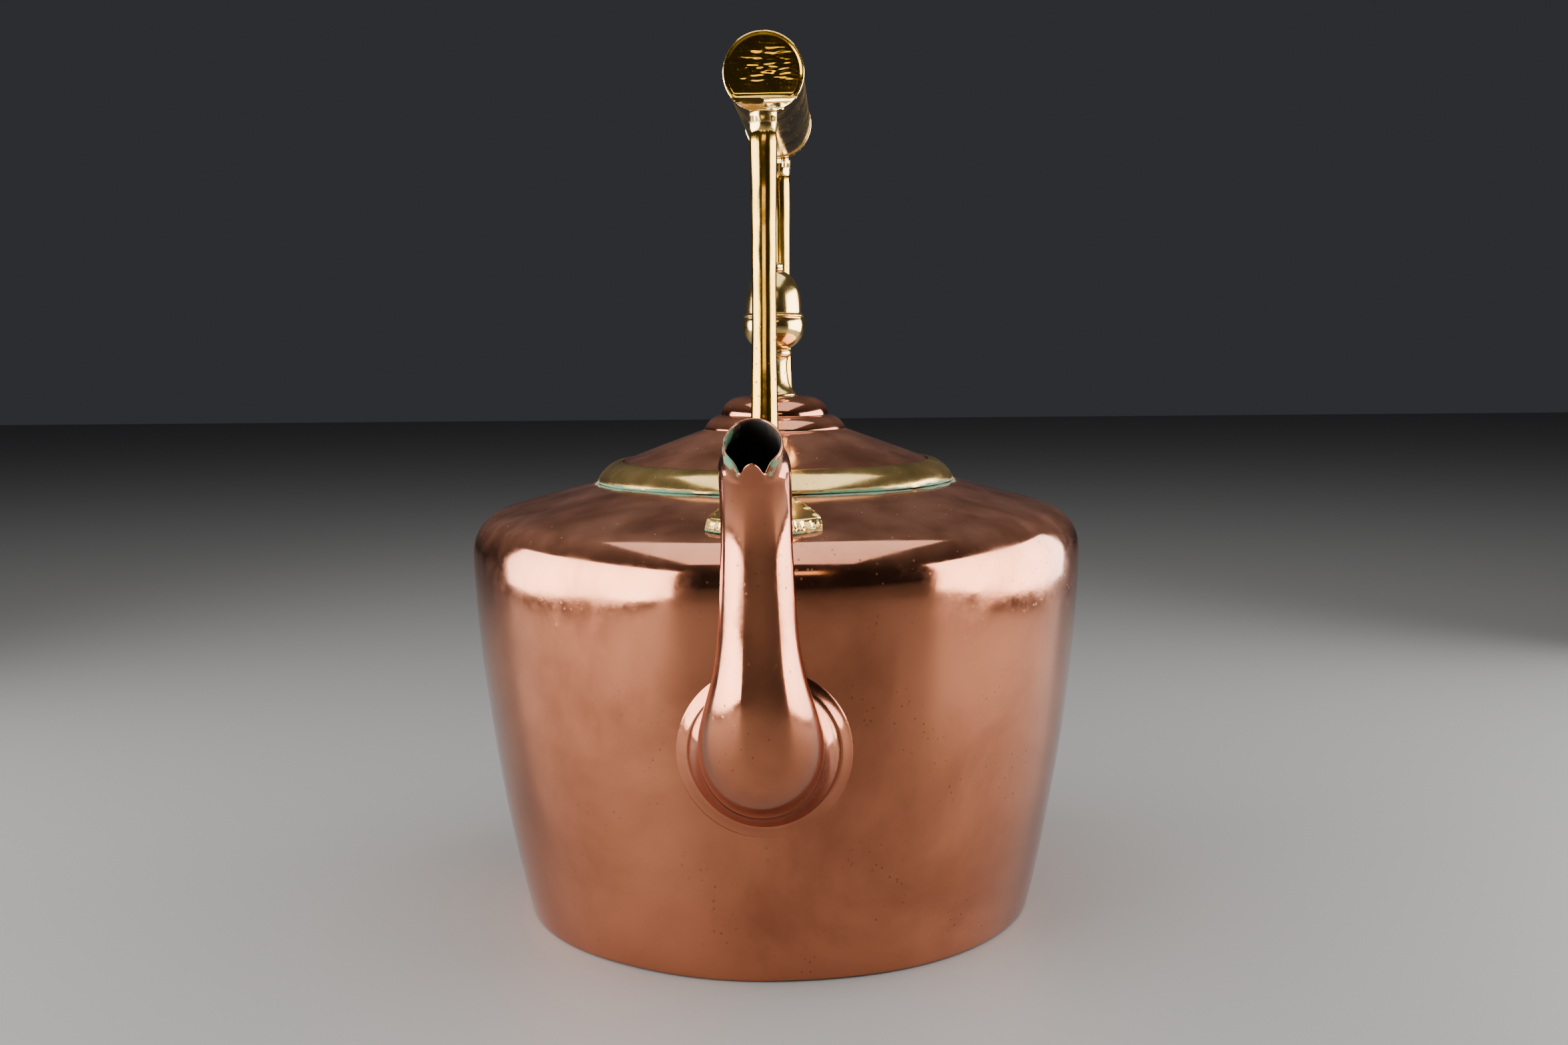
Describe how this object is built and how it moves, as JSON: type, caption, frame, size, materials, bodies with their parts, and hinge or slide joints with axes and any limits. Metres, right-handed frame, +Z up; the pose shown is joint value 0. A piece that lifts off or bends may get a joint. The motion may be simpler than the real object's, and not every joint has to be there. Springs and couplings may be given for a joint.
{
  "type": "stovetop kettle",
  "caption": "Wide tapered copper kettle with a swan-neck spout, a fixed brass handle with a round grip, and a lift-off domed lid with an acorn finial.",
  "frame": {"origin": "centre of the base's underside, on the surface that the kettle stands on", "axes": "+Z up, spout towards -Y, handle in the YZ plane, symmetric about X = 0"},
  "size_m": [0.2306, 0.2792, 0.3173],
  "materials": {
    "copper": "polished copper with light tarnish",
    "brass": "polished",
    "rivet_copper": "filed flush",
    "stud_brass": "turned"
  },
  "bodies": {
    "kettle": {"body_shell": "copper", "base_plate": "copper", "neck_collar": "brass", "spout": "copper", "spout_collar": "copper", "foot_plate_front": "brass", "foot_plate_rear": "brass", "foot_rivets_front": "rivet_copper", "foot_rivets_rear": "rivet_copper", "strut_front": "brass", "strut_rear": "brass", "grip_tube": "brass", "grip_end_front": "brass", "grip_end_rear": "brass"},
    "lid": {"lid_dome": "copper", "lid_skirt": "copper", "finial_stem": "brass", "finial_cup": "brass", "finial_acorn": "brass", "finial_tip": "brass", "finial_stud": "stud_brass", "lid_washer": "stud_brass", "lid_nut": "stud_brass"}
  },
  "joints": [
    {"name": "lid_lift", "type": "slide", "parent": "kettle", "child": "lid", "axis": [0, 0, 1], "range_m": [0, 0.042]}
  ]
}
